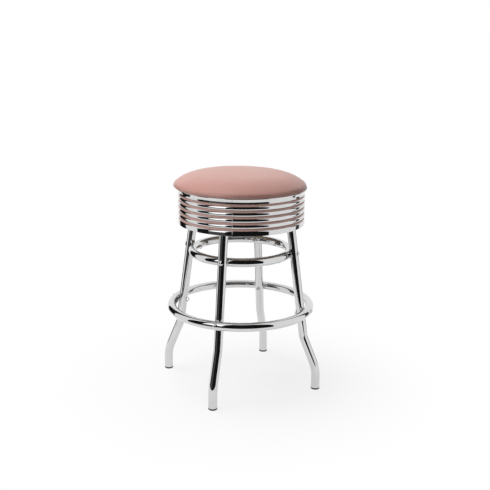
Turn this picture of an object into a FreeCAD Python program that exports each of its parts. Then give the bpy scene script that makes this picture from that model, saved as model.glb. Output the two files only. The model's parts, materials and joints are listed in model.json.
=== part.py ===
import FreeCAD, Part
import math
import os
import Sketcher

"""Diner counter stool: four bent tube legs, an inner ring and an outer footrest ring, a hidden ball
bearing swivel, and a round padded seat in a ribbed bright band with coloured inlay strips.

Millimetres, +Z up. The origin is on the floor, on the swivel axis. The legs stand on the diagonals.
"""

document = FreeCAD.newDocument("counter_stool")
sheet = document.addObject("Spreadsheet::Sheet", "Sizes")

SIZES = [
    # Bent tube frame
    ("tube_diameter", 25.4, "round tube of the legs and of both rings"),
    ("tube_wall", 1.5, "wall of that tube"),
    ("leg_top_height", 535, "centreline of the level run under the swivel"),
    ("leg_inner_end", 62, "distance of the leg's inner end from the swivel axis"),
    ("leg_top_reach", 142.4, "where the level run would meet the splayed run"),
    ("kink_reach", 194.6, "where the leg kinks outward, from the axis"),
    ("kink_height", 157.8, "height of that kink"),
    ("foot_reach", 234.9, "distance of the upright foot from the axis"),
    ("knee_height", 62, "height where the foot turns upright"),
    ("top_bend", 45, "bend radius under the seat, to the centreline"),
    ("kink_bend", 50, "bend radius of the outward kink"),
    ("knee_bend", 118, "bend radius above the foot"),
    # Rings
    ("upper_ring_height", 402, "centre height of the ring inside the legs"),
    ("footrest_height", 235.5, "centre height of the ring outside the legs"),
    ("saddle_depth", 5.4, "how deep each ring is dented to nest on a leg"),
    ("seat_gap", 0.1, "gap between two frame pieces that bear on each other"),
    # Floor glides
    ("glide_height", 5, "visible height of the plastic glide"),
    ("glide_radius", 12.9, "radius of the glide's foot"),
    ("glide_edge", 1.2, "chamfer round the glide's foot"),
    ("plug_length", 16, "glide stem inside the tube"),
    ("plug_gap", 0.1, "gap round that stem"),
    # Bolts
    ("bolt_radius", 3, "shank of every machine bolt"),
    ("bolt_gap", 0.2, "radial gap of a bolt in a drilled hole"),
    ("thread_gap", 0.05, "radial gap of a bolt in its nut"),
    ("ring_head_radius", 7, "domed head of a ring bolt"),
    ("ring_head_height", 2.8, "its height"),
    ("cap_nut_flats", 12.7, "acorn nut across its flats"),
    ("cap_nut_height", 3.6, "hexagon of the acorn nut"),
    ("cap_nut_dome", 3.2, "dome above that hexagon"),
    ("cap_nut_engagement", 5, "bolt length inside the acorn nut"),
    ("curve_gap", 0.3, "gap of a flat acorn nut inside the curve of the upper ring"),
    ("plate_head_radius", 6.5, "flat domed head of a leg plate bolt"),
    ("plate_head_height", 2.8, "its height"),
    ("plate_nut_flats", 10, "hexagon nut under a leg"),
    ("plate_nut_height", 5, "its height"),
    ("plate_bolt_stub", 2, "thread below that nut"),
    ("inner_bolt_reach", 78, "inner leg plate bolt, from the axis"),
    ("outer_bolt_reach", 98, "outer leg plate bolt, from the axis"),
    # Ball bearing swivel
    ("plate_side", 178, "side of both square swivel plates"),
    ("plate_corner", 14, "corner radius of the plates"),
    ("plate_thickness", 2.5, "pressed steel of the plates"),
    ("flange_gap", 11.2, "gap between the two flat flanges"),
    ("dish_gap", 3.2, "gap between the two pressed dishes"),
    ("dish_radius", 62, "flat middle of a dish"),
    ("dish_slope", 6, "width of the sloping wall round the dish"),
    ("race_radius", 45, "pitch radius of the ball race"),
    ("ball_radius", 4, "bearing ball"),
    ("race_gap", 0.1, "gap between a ball and the groove or pocket round it"),
    ("cage_thickness", 1.2, "flat ring that spaces the balls"),
    ("cage_width", 13, "width of that ring"),
    ("pin_radius", 6, "centre pin that holds the plates together"),
    ("pin_running_gap", 0.05, "radial gap of the upper plate on the pin"),
    ("pin_head_radius", 10, "head below the lower plate"),
    ("pin_head_height", 2.5, "its height"),
    ("washer_radius", 11, "washer above the upper plate"),
    ("washer_thickness", 1.5, "its thickness"),
    ("washer_gap", 0.3, "play that lets the seat turn"),
    ("pin_nut_flats", 17, "hexagon nut on the pin"),
    ("pin_nut_height", 5, "its height"),
    ("pin_stub", 1, "pin above the nut"),
    # Seat board and its fasteners
    ("board_thickness", 15, "plywood seat board"),
    ("board_radius", 178, "its radius"),
    ("recess_radius", 16, "recess in the board over the pin nut"),
    ("recess_depth", 9, "depth of that recess"),
    ("board_bolt_reach", 108, "bolts from the upper plate into the board"),
    ("board_head_radius", 5.5, "pan head of a board bolt"),
    ("board_head_height", 3.4, "its height"),
    ("tee_flange_radius", 9.5, "flange of a tee nut, let into the board's top"),
    ("tee_flange_thickness", 1.4, "its thickness"),
    ("tee_barrel_radius", 4.2, "barrel of the tee nut"),
    ("tee_barrel_length", 11, "its length"),
    # Ribbed band
    ("skirt_gap", 0.3, "gap between the cover's skirt and the band"),
    ("band_sheet", 1, "sheet of the ribbed band"),
    ("band_drop", 92, "band's lower edge below the board's top"),
    ("rib_pitch", 16.8, "one rib and one groove"),
    ("groove_width", 5.8, "flat groove between two ribs"),
    ("rib_height", 2.8, "how far a rib stands out from the groove"),
    ("top_groove_drop", 8, "centre of the top groove below the board's top"),
    ("lip_drop", 5.25, "underside of the top lip above the board's top"),
    ("lip_thickness", 5.5, "rolled lip under the cushion"),
    ("lip_width", 4.6, "how far the lip stands out to its nose's centre"),
    ("seam_angle", 0.15, "opening of the butt seam, in degrees"),
    ("seam_azimuth", -124, "where the seam stands at rest, in degrees"),
    ("inlay_thickness", 1.2, "coloured strip in each groove"),
    ("inlay_gap", 0.1, "gap round that strip"),
    # Padding
    ("cover_radius", 191, "widest part of the cushion"),
    ("crown_height", 58, "top of the cushion above the board"),
    ("crown_bend", 1280, "radius of the cushion's flat middle"),
    ("shoulder_bend", 133, "radius of its shoulder"),
    ("rim_bend", 16, "radius of its rim"),
    ("tuck_bend", 2, "radius where it turns under to the lip"),
    ("cover_thickness", 1.2, "vinyl cover"),
    ("pad_gap", 0.3, "gap between the foam and the cover, and above the lip"),
    ("skirt_thickness", 1, "cover between the board and the band"),
    ("hem_width", 18, "cover turned in under the board"),
    # Staples and band brackets
    ("staple_reach", 168, "staples in the hem, from the axis"),
    ("staple_crown", 10, "length of a staple's crown"),
    ("staple_wire", 1, "width of the wire"),
    ("staple_flat", 0.6, "thickness of the wire"),
    ("staple_leg", 7, "length of a staple's legs"),
    ("bracket_sheet", 1.5, "angle brackets inside the band"),
    ("bracket_leaf", 36, "level leaf under the board"),
    ("bracket_drop", 22, "upright leaf against the band"),
    ("bracket_sweep", 6, "width of a bracket, in degrees about the axis"),
    ("screw_reach", 150, "bracket screw, from the axis"),
    ("screw_radius", 1.8, "its shank"),
    ("screw_head_radius", 3.8, "its head"),
    ("screw_head_height", 2, "height of the head"),
    ("screw_length", 12, "length under the head"),
]

for row, (alias, value, note) in enumerate(SIZES, start=1):
    sheet.set(f"A{row}", alias)
    sheet.set(f"B{row}", str(value))
    sheet.setAlias(f"B{row}", alias)
    sheet.set(f"C{row}", note)
document.recompute()

# Places that follow from the sizes

LEG_COUNT = 4
FIRST_LEG_AZIMUTH = 45
TUBE_RADIUS = "(Sizes.tube_diameter / 2)"
LEG_RUN = "(Sizes.leg_top_height - Sizes.kink_height)"
LEAN = f"atan((Sizes.kink_reach - Sizes.leg_top_reach) / {LEG_RUN})"
AXIS_SPACING = "(Sizes.tube_diameter - Sizes.saddle_depth)"
BOLT_SPACING = f"({AXIS_SPACING} * cos({LEAN}))"


def leg_reach(height):
    """Distance of the splayed run's centreline from the axis, at a height."""
    spread = "(Sizes.kink_reach - Sizes.leg_top_reach)"
    return f"(Sizes.leg_top_reach + {spread} * (Sizes.leg_top_height - {height}) / {LEG_RUN})"


UPPER_RING_RADIUS = f"({leg_reach('Sizes.upper_ring_height')} - {AXIS_SPACING})"
FOOTREST_RADIUS = f"({leg_reach('Sizes.footrest_height')} + {AXIS_SPACING})"

LOWER_FLANGE_BOTTOM = f"(Sizes.leg_top_height + {TUBE_RADIUS} + Sizes.seat_gap)"
LOWER_FLANGE_TOP = f"({LOWER_FLANGE_BOTTOM} + Sizes.plate_thickness)"
BALL_LEVEL = f"({LOWER_FLANGE_TOP} + Sizes.flange_gap / 2)"
UPPER_FLANGE_BOTTOM = f"({BALL_LEVEL} + Sizes.flange_gap / 2)"
BOARD_BOTTOM = f"({UPPER_FLANGE_BOTTOM} + Sizes.plate_thickness)"
BOARD_TOP = f"({BOARD_BOTTOM} + Sizes.board_thickness)"

SKIRT_INSIDE = f"(Sizes.board_radius + Sizes.seat_gap)"
SKIRT_OUTSIDE = f"({SKIRT_INSIDE} + Sizes.skirt_thickness)"
BAND_BORE = f"({SKIRT_OUTSIDE} + Sizes.skirt_gap)"
GROOVE_FLOOR = f"({BAND_BORE} + Sizes.band_sheet)"
RIB_WIDTH = "(Sizes.rib_pitch - Sizes.groove_width)"
RIB_RADIUS = f"((({RIB_WIDTH} / 2) ^ 2 + Sizes.rib_height ^ 2) / (2 * Sizes.rib_height))"
RIB_CENTRE_REACH = f"({GROOVE_FLOOR} + Sizes.rib_height - {RIB_RADIUS})"
RIB_CREST = f"({GROOVE_FLOOR} + Sizes.rib_height)"
RIB_COUNT = 5
TOP_GROOVE = f"({BOARD_TOP} - Sizes.top_groove_drop)"
TOP_RIB = f"({TOP_GROOVE} + Sizes.rib_pitch / 2)"
FLANGE_RIB = f"({TOP_RIB} - {RIB_COUNT} * Sizes.rib_pitch)"
BAND_BOTTOM = f"({BOARD_TOP} - Sizes.band_drop)"
LIP_BOTTOM = f"({BOARD_TOP} + Sizes.lip_drop)"
LIP_TOP = f"({LIP_BOTTOM} + Sizes.lip_thickness)"

CROWN = f"({BOARD_TOP} + Sizes.crown_height)"
TUCK_LEVEL = f"({LIP_TOP} + Sizes.pad_gap)"
RIM_LEVEL = f"({TUCK_LEVEL} + Sizes.tuck_bend)"


# Ways to draw and shape a piece

def number(expression):
    """The present value of an expression in the sizes, as a plain number."""
    value = sheet.evalExpression(str(expression))
    return float(getattr(value, "Value", value))


def new_body(name):
    return document.addObject("PartDesign::Body", name)


def origin_feature(body, role):
    return next(item for item in body.Origin.OriginFeatures if item.Role == role)


def new_sketch(body, name, plane="XZ_Plane", frame=None):
    """A sketch on one of the body's own planes; frame, if given, is a placement on that plane."""
    sketch = body.newObject("Sketcher::SketchObject", name)
    sketch.AttachmentSupport = [(origin_feature(body, plane), "")]
    sketch.MapMode = "FlatFace"
    if frame:
        sketch.setExpression("AttachmentOffset", frame)
        document.recompute()
    return sketch


def bind(sketch, kind, *args):
    """Add a sized constraint, whose last argument is an expression, and tie it to that expression."""
    *places, expression = args
    index = sketch.addConstraint(Sketcher.Constraint(kind, *places, number(expression)))
    sketch.setExpression(f"Constraints[{index}]", str(expression))


def fix_point(sketch, geometry, end, x, y):
    """Hold one point of a sketch at expressions for its two coordinates."""
    if x == "0":
        sketch.addConstraint(Sketcher.Constraint("PointOnObject", geometry, end, -2))
    else:
        bind(sketch, "DistanceX", -1, 1, geometry, end, x)
    if y == "0":
        sketch.addConstraint(Sketcher.Constraint("PointOnObject", geometry, end, -1))
    else:
        bind(sketch, "DistanceY", -1, 1, geometry, end, y)


def draw_outline(sketch, corners, domed=None):
    """Closed outline through corners; the edge numbered domed is an arc centred on the V axis."""
    points = [FreeCAD.Vector(number(x), number(y), 0) for x, y in corners]
    edges = []
    for place, start in enumerate(points):
        end = points[(place + 1) % len(points)]
        if place != domed:
            edges.append((sketch.addGeometry(Part.LineSegment(start, end)), 1, 2))
            continue
        level = (start.x ** 2 + start.y ** 2 - end.x ** 2 - end.y ** 2) / (2 * (start.y - end.y))
        centre = FreeCAD.Vector(0, level, 0)
        first = math.atan2(start.y - level, start.x)
        last = math.atan2(end.y - level, end.x)
        circle = Part.Circle(centre, FreeCAD.Vector(0, 0, 1), (start - centre).Length)
        arc = sketch.addGeometry(Part.ArcOfCircle(circle, min(first, last), max(first, last)))
        sketch.addConstraint(Sketcher.Constraint("PointOnObject", arc, 3, -2))
        edges.append((arc, 1, 2) if first < last else (arc, 2, 1))
    for place, (geometry, start_end, _) in enumerate(edges):
        before, _, before_end = edges[place - 1]
        sketch.addConstraint(Sketcher.Constraint("Coincident", before, before_end, geometry, start_end))
        fix_point(sketch, geometry, start_end, *corners[place])


def draw_circle(sketch, x, y, radius):
    place = FreeCAD.Vector(number(x), number(y), 0)
    circle = sketch.addGeometry(Part.Circle(place, FreeCAD.Vector(0, 0, 1), number(radius)))
    fix_point(sketch, circle, 3, x, y)
    bind(sketch, "Radius", circle, radius)


def draw_hexagon(sketch, flats):
    """Hexagon about the sketch's origin, by its size across the flats."""
    side = f"({flats} / 2)"
    low = f"({flats} / (2 * sqrt(3)))"
    high = f"({flats} / sqrt(3))"
    draw_outline(sketch, [(side, f"-{low}"), (side, low), ("0", high),
                          (f"-{side}", low), (f"-{side}", f"-{low}"), ("0", f"-{high}")])


def revolve(body, sketch, name, kind="Revolution", angle="360"):
    feature = body.newObject(f"PartDesign::{kind}", name)
    feature.Profile = sketch
    feature.ReferenceAxis = (sketch, ["V_Axis"])
    feature.setExpression("Angle", angle)
    return feature


def pad(body, sketch, name, length):
    feature = body.newObject("PartDesign::Pad", name)
    feature.Profile = sketch
    feature.setExpression("Length", length)
    return feature


def pocket(body, sketch, name, length, forward=True):
    """Cut along the sketch's normal, or against it."""
    feature = body.newObject("PartDesign::Pocket", name)
    feature.Profile = sketch
    feature.Reversed = forward
    feature.setExpression("Length", length)
    return feature


def polar_pattern(body, features, name, count):
    feature = body.newObject("PartDesign::PolarPattern", name)
    feature.Originals = features
    feature.Axis = (origin_feature(body, "Z_Axis"), [""])
    feature.Angle = 360
    feature.Occurrences = count
    body.Tip = feature
    return feature


def turned_piece(name, frame, corners, domed=None, count=LEG_COUNT):
    """Pieces turned on an axis: frame's own +Z. The outline is (radius, place along that axis)."""
    body = new_body(name)
    stand_up = "placement(vector(0; 0; 0); rotation(vector(1; 0; 0); 90))"
    section = new_sketch(body, f"{name}_section", "XY_Plane", f"{frame} * {stand_up}")
    draw_outline(section, corners, domed)
    feature = revolve(body, section, f"{name}_turned")
    if count > 1:
        polar_pattern(body, [feature], f"{name}_round", count)
    return body


def spot(x, z, turn="0"):
    """A placement in the XZ plane, at x and z, turned about Y by an angle."""
    return f"placement(vector({x}; 0; {z}); rotation(vector(0; 1; 0); {turn}))"


def turned_to(azimuth):
    return f"placement(vector(0; 0; 0); rotation(vector(0; 0; 1); {azimuth}))"


def leg_azimuth(place):
    return FIRST_LEG_AZIMUTH + place * 360 / LEG_COUNT


# Frame of each ring's bolts: it stands on the ring's centreline and points out, square to the leg

BOLT_TURN = f"90 deg - {LEAN}"
UPPER_BOLT_FRAME = spot(UPPER_RING_RADIUS, "Sizes.upper_ring_height", BOLT_TURN)
FOOTREST_BOLT_FRAME = spot(FOOTREST_RADIUS, "Sizes.footrest_height", BOLT_TURN)


# Legs

def draw_bent_path(sketch, corners, radii):
    """Straight runs between corners, joined by tangent arcs of the given radii."""
    points = [FreeCAD.Vector(number(x), number(y), 0) for x, y in corners]
    ends = [points[0]]
    arcs = []
    for before, corner, after, radius in zip(points, points[1:], points[2:], radii):
        back = (before - corner).normalize()
        ahead = (after - corner).normalize()
        half = back.getAngle(ahead) / 2
        trim = number(radius) / math.tan(half)
        centre = corner + (back + ahead).normalize() * (number(radius) / math.sin(half))
        start, end = corner + back * trim, corner + ahead * trim
        ends += [start, end]
        arcs.append((centre, start, end, (start - centre).cross(end - centre).z > 0))
    ends.append(points[-1])
    runs = [sketch.addGeometry(Part.LineSegment(ends[i], ends[i + 1])) for i in range(0, len(ends), 2)]
    fix_point(sketch, runs[0], 1, *corners[0])
    fix_point(sketch, runs[-1], 2, *corners[-1])
    for place, (centre, start, end, turns_left) in enumerate(arcs):
        first, last = (start, end) if turns_left else (end, start)
        angles = [math.atan2(point.y - centre.y, point.x - centre.x) for point in (first, last)]
        if angles[1] < angles[0]:
            angles[1] += 2 * math.pi
        circle = Part.Circle(centre, FreeCAD.Vector(0, 0, 1), (start - centre).Length)
        arc = sketch.addGeometry(Part.ArcOfCircle(circle, *angles))
        near, far = (1, 2) if turns_left else (2, 1)
        sketch.addConstraint(Sketcher.Constraint("Tangent", runs[place], 2, arc, near))
        sketch.addConstraint(Sketcher.Constraint("Tangent", arc, far, runs[place + 1], 1))
        bind(sketch, "Radius", arc, radii[place])
        corner = sketch.addGeometry(Part.Point(points[place + 1]), True)
        fix_point(sketch, corner, 1, *corners[place + 1])
        sketch.addConstraint(Sketcher.Constraint("PointOnObject", corner, 1, runs[place]))
        sketch.addConstraint(Sketcher.Constraint("PointOnObject", corner, 1, runs[place + 1]))


def make_leg(name, azimuth):
    """One tube: upright foot, outward knee and kink, splayed run, and a level run under the seat."""
    body = new_body(name)
    foot_end = "(Sizes.glide_height + Sizes.seat_gap)"
    path = new_sketch(body, f"{name}_path")
    draw_bent_path(path, [("Sizes.foot_reach", foot_end),
                          ("Sizes.foot_reach", "Sizes.knee_height"),
                          ("Sizes.kink_reach", "Sizes.kink_height"),
                          ("Sizes.leg_top_reach", "Sizes.leg_top_height"),
                          ("Sizes.leg_inner_end", "Sizes.leg_top_height")],
                   ["Sizes.knee_bend", "Sizes.kink_bend", "Sizes.top_bend"])
    section = new_sketch(body, f"{name}_section", "XY_Plane", spot("Sizes.foot_reach", foot_end))
    draw_circle(section, "0", "0", TUBE_RADIUS)
    draw_circle(section, "0", "0", f"({TUBE_RADIUS} - Sizes.tube_wall)")
    tube = body.newObject("PartDesign::AdditivePipe", f"{name}_tube")
    tube.Profile = section
    tube.Spine = (path, [])
    document.recompute()

    hole = "(Sizes.bolt_radius + Sizes.bolt_gap)"
    reach = "(2 * Sizes.tube_diameter)"
    for ring, frame, outward in (("upper", UPPER_BOLT_FRAME, True), ("footrest", FOOTREST_BOLT_FRAME, False)):
        sketch = new_sketch(body, f"{name}_{ring}_hole", "XY_Plane", frame)
        draw_circle(sketch, "0", "0", hole)
        pocket(body, sketch, f"{name}_{ring}_drilled", reach, forward=outward)
    sketch = new_sketch(body, f"{name}_plate_holes", "XY_Plane",
                        spot("0", f"(Sizes.leg_top_height - Sizes.tube_diameter)"))
    draw_circle(sketch, "Sizes.inner_bolt_reach", "0", hole)
    draw_circle(sketch, "Sizes.outer_bolt_reach", "0", hole)
    pocket(body, sketch, f"{name}_plate_drilled", reach)
    body.Placement = FreeCAD.Placement(FreeCAD.Vector(), FreeCAD.Rotation(FreeCAD.Vector(0, 0, 1), azimuth))
    return body


LEG_NAMES = ["leg_back_right", "leg_back_left", "leg_front_left", "leg_front_right"]
legs = [make_leg(name, leg_azimuth(place)) for place, name in enumerate(LEG_NAMES)]


# Floor glides

def make_glide(name, azimuth):
    """Moulded foot with a stem plugged into the tube."""
    top = "Sizes.glide_height"
    stem = f"({TUBE_RADIUS} - Sizes.tube_wall - Sizes.plug_gap)"
    corners = [("0", "0"), ("(Sizes.glide_radius - Sizes.glide_edge)", "0"),
               ("Sizes.glide_radius", "Sizes.glide_edge"), ("Sizes.glide_radius", top), (stem, top),
               (stem, f"({top} + Sizes.plug_length)"), ("0", f"({top} + Sizes.plug_length)")]
    body = turned_piece(name, spot("Sizes.foot_reach", "0"), corners, count=1)
    body.Placement = FreeCAD.Placement(FreeCAD.Vector(), FreeCAD.Rotation(FreeCAD.Vector(0, 0, 1), azimuth))
    return body


glides = [make_glide(name.replace("leg", "glide"), leg_azimuth(place))
          for place, name in enumerate(LEG_NAMES)]


# Rings, each a closed tube pressed in to a saddle at every leg and drilled for its bolts

def make_torus(name, radius, section, height):
    torus = document.addObject("Part::Torus", name)
    torus.setExpression("Radius1", radius)
    torus.setExpression("Radius2", section)
    torus.setExpression("Placement.Base.z", height)
    return torus


def make_rods(name, radius, length, frame):
    """One rod at each leg, centred on the frame and along its +Z."""
    rods = []
    for place in range(LEG_COUNT):
        rod = document.addObject("Part::Cylinder", f"{name}_{place + 1}")
        rod.setExpression("Radius", radius)
        rod.setExpression("Height", length)
        centred = f"placement(vector(0; 0; -{length} / 2); rotation(vector(0; 0; 1); 0))"
        rod.setExpression("Placement", f"{turned_to(leg_azimuth(place))} * {frame} * {centred}")
        rods.append(rod)
    group = document.addObject("Part::MultiFuse", f"{name}_all")
    group.Shapes = rods
    return group


def cut(name, base, tool):
    result = document.addObject("Part::Cut", name)
    result.Base = base
    result.Tool = tool
    return result


def make_ring(name, radius, height, bolt_frame):
    leg_frame = spot(leg_reach(height), height, f"-{LEAN}")
    saddle = f"({TUBE_RADIUS} + Sizes.seat_gap)"
    length = "(4 * Sizes.tube_diameter)"
    skin = cut(f"{name}_skin", make_torus(f"{name}_outside", radius, TUBE_RADIUS, height),
               make_rods(f"{name}_saddle", saddle, length, leg_frame))
    hollow = cut(f"{name}_hollow",
                 make_torus(f"{name}_inside", radius, f"({TUBE_RADIUS} - Sizes.tube_wall)", height),
                 make_rods(f"{name}_dent", f"({saddle} + Sizes.tube_wall)", length, leg_frame))
    holes = make_rods(f"{name}_bolt_hole", "(Sizes.bolt_radius + Sizes.bolt_gap)", length, bolt_frame)
    return cut(name, cut(f"{name}_tube", skin, hollow), holes)


upper_ring = make_ring("upper_ring", UPPER_RING_RADIUS, "Sizes.upper_ring_height", UPPER_BOLT_FRAME)
footrest_ring = make_ring("footrest_ring", FOOTREST_RADIUS, "Sizes.footrest_height", FOOTREST_BOLT_FRAME)


def make_ring_bolts(name, frame, head_seat, nut_seat):
    """Domed bolts: the head bears at head_seat and the thread ends in the acorn nut past nut_seat."""
    tip = f"-({nut_seat} + Sizes.cap_nut_engagement)"
    corners = [("0", tip), ("Sizes.bolt_radius", tip), ("Sizes.bolt_radius", head_seat),
               ("Sizes.ring_head_radius", head_seat), ("0", f"({head_seat} + Sizes.ring_head_height)")]
    body = turned_piece(name, frame, corners, domed=3)
    body.Placement = FreeCAD.Placement(FreeCAD.Vector(), FreeCAD.Rotation(FreeCAD.Vector(0, 0, 1),
                                                                          FIRST_LEG_AZIMUTH))
    return body


def make_ring_nuts(name, frame, nut_seat):
    """Acorn nuts: a hexagon with a dome, bored from the side that bears on the tube."""
    body = new_body(name)
    flip = f"placement(vector(0; 0; -{nut_seat}); rotation(vector(1; 0; 0); 180))"
    hexagon = new_sketch(body, f"{name}_hexagon", "XY_Plane", f"{frame} * {flip}")
    draw_hexagon(hexagon, "Sizes.cap_nut_flats")
    features = [pad(body, hexagon, f"{name}_hex", "Sizes.cap_nut_height")]
    stand_up = "placement(vector(0; 0; 0); rotation(vector(1; 0; 0); 90))"
    dome = new_sketch(body, f"{name}_dome", "XY_Plane", f"{frame} * {flip} * {stand_up}")
    base = "(Sizes.cap_nut_height - Sizes.thread_gap)"
    draw_outline(dome, [("0", base), ("(Sizes.cap_nut_flats * 0.46)", base),
                        ("0", "(Sizes.cap_nut_height + Sizes.cap_nut_dome)")], domed=1)
    features.append(revolve(body, dome, f"{name}_cap"))
    bore = new_sketch(body, f"{name}_bore", "XY_Plane", f"{frame} * {flip}")
    draw_circle(bore, "0", "0", "(Sizes.bolt_radius + Sizes.thread_gap)")
    features.append(pocket(body, bore, f"{name}_bored", "(Sizes.cap_nut_engagement + Sizes.seat_gap)"))
    polar_pattern(body, features, f"{name}_round", LEG_COUNT)
    body.Placement = FreeCAD.Placement(FreeCAD.Vector(), FreeCAD.Rotation(FreeCAD.Vector(0, 0, 1),
                                                                          FIRST_LEG_AZIMUTH))
    return body


NEAR_SEAT = f"({TUBE_RADIUS} + Sizes.seat_gap)"
FAR_SEAT = f"({BOLT_SPACING} + {NEAR_SEAT})"
CURVED_SEAT = f"({TUBE_RADIUS} + Sizes.curve_gap)"
upper_ring_bolts = make_ring_bolts("upper_ring_bolts", UPPER_BOLT_FRAME, FAR_SEAT, CURVED_SEAT)
upper_ring_nuts = make_ring_nuts("upper_ring_nuts", UPPER_BOLT_FRAME, CURVED_SEAT)
footrest_bolts = make_ring_bolts("footrest_bolts", FOOTREST_BOLT_FRAME, NEAR_SEAT, FAR_SEAT)
footrest_nuts = make_ring_nuts("footrest_nuts", FOOTREST_BOLT_FRAME, FAR_SEAT)


# Swivel plates: a square flange round a pressed dish, and a ball race pressed into the dish

def make_swivel_plate(name, side, bolt_reaches, hub_gap):
    """side is - for the plate under the balls and + for the one above them."""
    body = new_body(name)

    def level(offset):
        return f"({BALL_LEVEL} {side} {offset})"

    thickness = "Sizes.plate_thickness"
    flange_face = "(Sizes.flange_gap / 2)"
    flange_back = f"({flange_face} + {thickness})"
    dish_face = "(Sizes.dish_gap / 2)"
    dish_back = f"({dish_face} + {thickness})"
    hub = f"(Sizes.pin_radius + {hub_gap})"
    slope_end = "(Sizes.dish_radius + Sizes.dish_slope)"
    opening = f"({slope_end} + {thickness})"

    low_face = flange_back if side == "-" else flange_face
    flange = new_sketch(body, f"{name}_square", "XY_Plane", spot("0", level(low_face)))
    half = "(Sizes.plate_side / 2)"
    draw_outline(flange, [(half, f"-{half}"), (half, half), (f"-{half}", half), (f"-{half}", f"-{half}")])
    draw_circle(flange, "0", "0", opening)
    square = pad(body, flange, f"{name}_flange", thickness)
    document.recompute()
    corners = [f"Edge{place + 1}" for place, edge in enumerate(square.Shape.Edges)
               if abs(edge.tangentAt(edge.FirstParameter).z) > 0.99
               and edge.CenterOfMass.Length > number("Sizes.plate_side / 2")
               and math.hypot(edge.CenterOfMass.x, edge.CenterOfMass.y) > number("Sizes.plate_side * 0.6")]
    rounded = body.newObject("PartDesign::Fillet", f"{name}_corners")
    rounded.Base = (square, corners)
    rounded.setExpression("Radius", "Sizes.plate_corner")

    # The dish leaves the flange outside the opening by one sheet thickness, so the two join
    dish = new_sketch(body, f"{name}_dish_section")
    shift = f"({thickness} / 2)"
    outer = f"({opening} + {thickness})"
    draw_outline(dish, [(hub, level(dish_back)), ("Sizes.dish_radius", level(dish_back)),
                        (slope_end, level(flange_back)), (outer, level(flange_back)),
                        (outer, level(flange_face)), (f"({slope_end} + {shift})", level(flange_face)),
                        (f"(Sizes.dish_radius + {shift})", level(dish_face)), (hub, level(dish_face))])
    revolve(body, dish, f"{name}_dish")

    race = new_sketch(body, f"{name}_race_back")
    groove = "(Sizes.ball_radius + Sizes.race_gap)"
    draw_circle(race, "Sizes.race_radius", BALL_LEVEL, f"({groove} + {thickness})")
    revolve(body, race, f"{name}_race_wall")
    trim = new_sketch(body, f"{name}_race_trim")
    inner, outer = (f"(Sizes.race_radius {sign} 2 * {groove})" for sign in "-+")
    beyond = f"(-2 * {groove})"
    draw_outline(trim, [(inner, level(beyond)), (outer, level(beyond)),
                        (outer, level(dish_face)), (inner, level(dish_face))])
    revolve(body, trim, f"{name}_race_open", kind="Groove")
    track = new_sketch(body, f"{name}_race_track")
    draw_circle(track, "Sizes.race_radius", BALL_LEVEL, groove)
    revolve(body, track, f"{name}_race", kind="Groove")

    holes = new_sketch(body, f"{name}_holes", "XY_Plane",
                       f"{spot('0', level(low_face))} * {turned_to(FIRST_LEG_AZIMUTH)}")
    for reach in bolt_reaches:
        draw_circle(holes, reach, "0", "(Sizes.bolt_radius + Sizes.bolt_gap)")
    drilled = pocket(body, holes, f"{name}_drilled", thickness)
    polar_pattern(body, [drilled], f"{name}_hole_pattern", LEG_COUNT)
    return body


swivel_base_plate = make_swivel_plate("swivel_base_plate", "-",
                                      ["Sizes.inner_bolt_reach", "Sizes.outer_bolt_reach"],
                                      "Sizes.pin_running_gap")
swivel_top_plate = make_swivel_plate("swivel_top_plate", "+", ["Sizes.board_bolt_reach"],
                                     "Sizes.pin_running_gap")

# Balls, and the cage that spaces them

BALL_COUNT = 12
bearing_balls = new_body("bearing_balls")
ball = bearing_balls.newObject("PartDesign::AdditiveSphere", "ball")
ball.AttachmentSupport = [(origin_feature(bearing_balls, "XY_Plane"), "")]
ball.MapMode = "FlatFace"
ball.setExpression("Radius", "Sizes.ball_radius")
ball.setExpression("AttachmentOffset", spot("Sizes.race_radius", BALL_LEVEL))
polar_pattern(bearing_balls, [ball], "ball_ring", BALL_COUNT)

ball_cage = new_body("ball_cage")
cage_section = new_sketch(ball_cage, "cage_section")
cage_inner, cage_outer = (f"(Sizes.race_radius {sign} Sizes.cage_width / 2)" for sign in "-+")
cage_low, cage_high = (f"({BALL_LEVEL} {sign} Sizes.cage_thickness / 2)" for sign in "-+")
draw_outline(cage_section, [(cage_inner, cage_low), (cage_outer, cage_low),
                            (cage_outer, cage_high), (cage_inner, cage_high)])
revolve(ball_cage, cage_section, "cage_ring")
cage_hole = new_sketch(ball_cage, "cage_hole", "XY_Plane", spot("0", cage_low))
draw_circle(cage_hole, "Sizes.race_radius", "0", "(Sizes.ball_radius + Sizes.race_gap)")
cage_pocket = pocket(ball_cage, cage_hole, "cage_pocket", "Sizes.cage_thickness")
polar_pattern(ball_cage, [cage_pocket], "cage_pockets", BALL_COUNT)

# Centre pin, with its washer and nut above the upper plate

DISH_BACK = "(Sizes.dish_gap / 2 + Sizes.plate_thickness)"
PIN_HEAD_TOP = f"({BALL_LEVEL} - {DISH_BACK} - Sizes.seat_gap)"
WASHER_BOTTOM = f"({BALL_LEVEL} + {DISH_BACK} + Sizes.washer_gap)"
WASHER_TOP = f"({WASHER_BOTTOM} + Sizes.washer_thickness)"
PIN_NUT_BOTTOM = f"({WASHER_TOP} + Sizes.seat_gap)"
PIN_TOP = f"({PIN_NUT_BOTTOM} + Sizes.pin_nut_height + Sizes.pin_stub)"
pin_head_bottom = f"({PIN_HEAD_TOP} - Sizes.pin_head_height)"
swivel_pin = turned_piece("swivel_pin", spot("0", "0"),
                          [("0", pin_head_bottom), ("Sizes.pin_head_radius", pin_head_bottom),
                           ("Sizes.pin_head_radius", PIN_HEAD_TOP), ("Sizes.pin_radius", PIN_HEAD_TOP),
                           ("Sizes.pin_radius", PIN_TOP), ("0", PIN_TOP)], count=1)
pin_hole = "(Sizes.pin_radius + Sizes.thread_gap)"
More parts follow.
